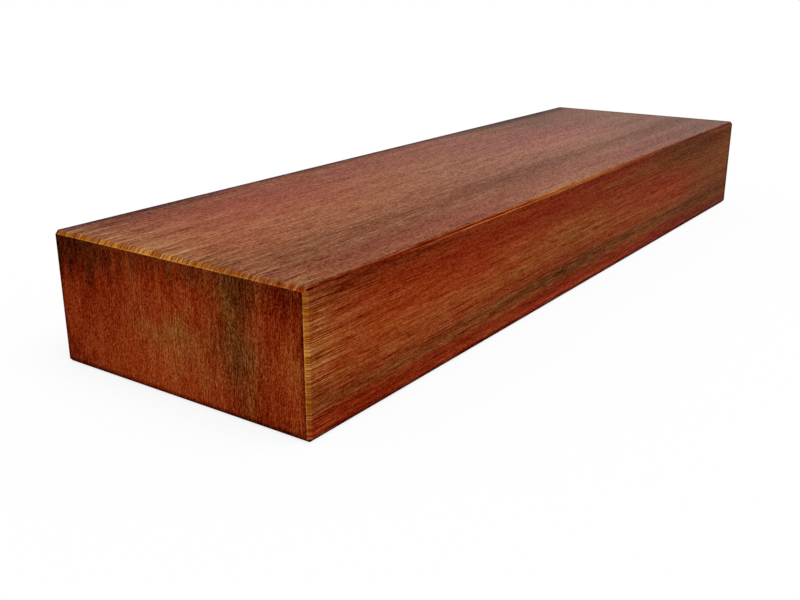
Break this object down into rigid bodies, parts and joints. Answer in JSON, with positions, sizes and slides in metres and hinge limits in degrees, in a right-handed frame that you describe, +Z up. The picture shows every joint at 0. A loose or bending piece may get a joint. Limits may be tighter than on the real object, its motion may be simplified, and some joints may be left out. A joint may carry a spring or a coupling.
{
  "type": "hardwood board",
  "caption": "Short length of planed hardwood board with a small flat chamfer on every edge, for decking, rails, shelves and trim.",
  "frame": {"origin": "middle of the underside, the wide face that the board rests on", "axes": "+X along the grain from the near end to the far end, +Y across the width, +Z up out of the upper wide face"},
  "size_m": [0.3048, 0.0888, 0.0381],
  "materials": {
    "hardwood": "satin"
  },
  "bodies": {
    "root": {"board": "hardwood"}
  },
  "joints": []
}
